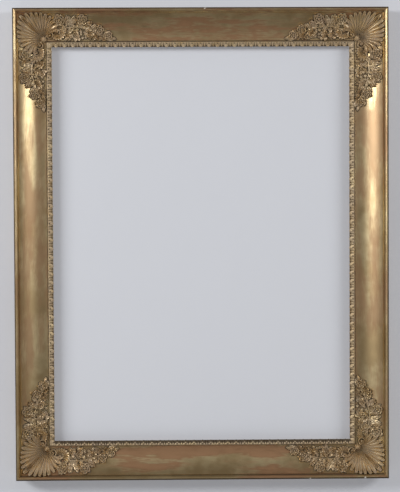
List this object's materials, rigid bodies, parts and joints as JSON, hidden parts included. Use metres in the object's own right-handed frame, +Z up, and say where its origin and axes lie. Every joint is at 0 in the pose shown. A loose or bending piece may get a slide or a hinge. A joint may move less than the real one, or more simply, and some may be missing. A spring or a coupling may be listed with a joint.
{
  "type": "picture frame",
  "caption": "Deep gilded cove picture frame with composition palmettes and flower sprays in the corners, a leaf-tip sight edge, a rebate with turn buttons, and a hanging ring.",
  "frame": {"origin": "top of the nail that carries the hanging ring, taken back to the wall plane, in the middle of the frame's width", "axes": "+Z up, +X to the right as seen by someone who looks at the gilded face, +Y out of the back towards the wall, so the gilded face looks along -Y"},
  "size_m": [1.088, 0.078, 1.3755],
  "materials": {
    "gilded_moulding": "burnished gold leaf over red bole and gesso on pine, rubbed and dark with age in the quirks",
    "gilded_edging": "gold leaf on pressed leaf-tip edging, bright on the tips and dark in the notches",
    "gilded_composition": "matt oil-gilded composition over red-brown size, rubbed bright on the high places",
    "pine": "raw pine, brown and dusty with age",
    "beech": "planed beech, glued in and darkened",
    "brass": "flat sheet brass, dull with age",
    "iron": "forged iron, dark brown-black, rubbed where the ring bears",
    "steel_screws": "slotted wood screws, dull grey-brown"
  },
  "bodies": {
    "root": {"moulding_top": "gilded_moulding", "moulding_right": "gilded_moulding", "moulding_bottom": "gilded_moulding", "moulding_left": "gilded_moulding", "leaf_edging_top": "gilded_edging", "leaf_edging_right": "gilded_edging", "leaf_edging_bottom": "gilded_edging", "leaf_edging_left": "gilded_edging", "palmette_top_left": "gilded_composition", "palmette_top_right": "gilded_composition", "palmette_bottom_left": "gilded_composition", "palmette_bottom_right": "gilded_composition", "spray_top_left_upright": "gilded_composition", "spray_top_left_level": "gilded_composition", "spray_top_right_upright": "gilded_composition", "spray_top_right_level": "gilded_composition", "spray_bottom_left_upright": "gilded_composition", "spray_bottom_left_level": "gilded_composition", "spray_bottom_right_upright": "gilded_composition", "spray_bottom_right_level": "gilded_composition", "chassis_top": "pine", "chassis_right": "pine", "chassis_bottom": "pine", "chassis_left": "pine", "corner_key_top_left": "beech", "corner_key_top_right": "beech", "corner_key_bottom_left": "beech", "corner_key_bottom_right": "beech", "hanger_plate": "iron", "hanger_screws": "steel_screws", "button_screws": "steel_screws"},
    "ring": {"hanger_ring": "iron"},
    "button_top": {"turn_button_top": "brass"},
    "button_right": {"turn_button_right": "brass"},
    "button_bottom": {"turn_button_bottom": "brass"},
    "button_left": {"turn_button_left": "brass"}
  },
  "joints": [
    {"name": "ring_hinge", "type": "hinge", "parent": "root", "child": "ring", "pos_m": [0, -0.0035, -0.0155], "axis": [-1, 0, 0], "range_deg": [0, 180]},
    {"name": "button_top_turn", "type": "hinge", "parent": "root", "child": "button_top", "pos_m": [0, -0.006, -0.0855], "axis": [0, 1, 0], "continuous": true},
    {"name": "button_right_turn", "type": "hinge", "parent": "root", "child": "button_right", "pos_m": [0.459, -0.006, -0.6865], "axis": [0, 1, 0], "continuous": true},
    {"name": "button_bottom_turn", "type": "hinge", "parent": "root", "child": "button_bottom", "pos_m": [0, -0.006, -1.2875], "axis": [0, 1, 0], "continuous": true},
    {"name": "button_left_turn", "type": "hinge", "parent": "root", "child": "button_left", "pos_m": [-0.459, -0.006, -0.6865], "axis": [0, 1, 0], "continuous": true}
  ]
}
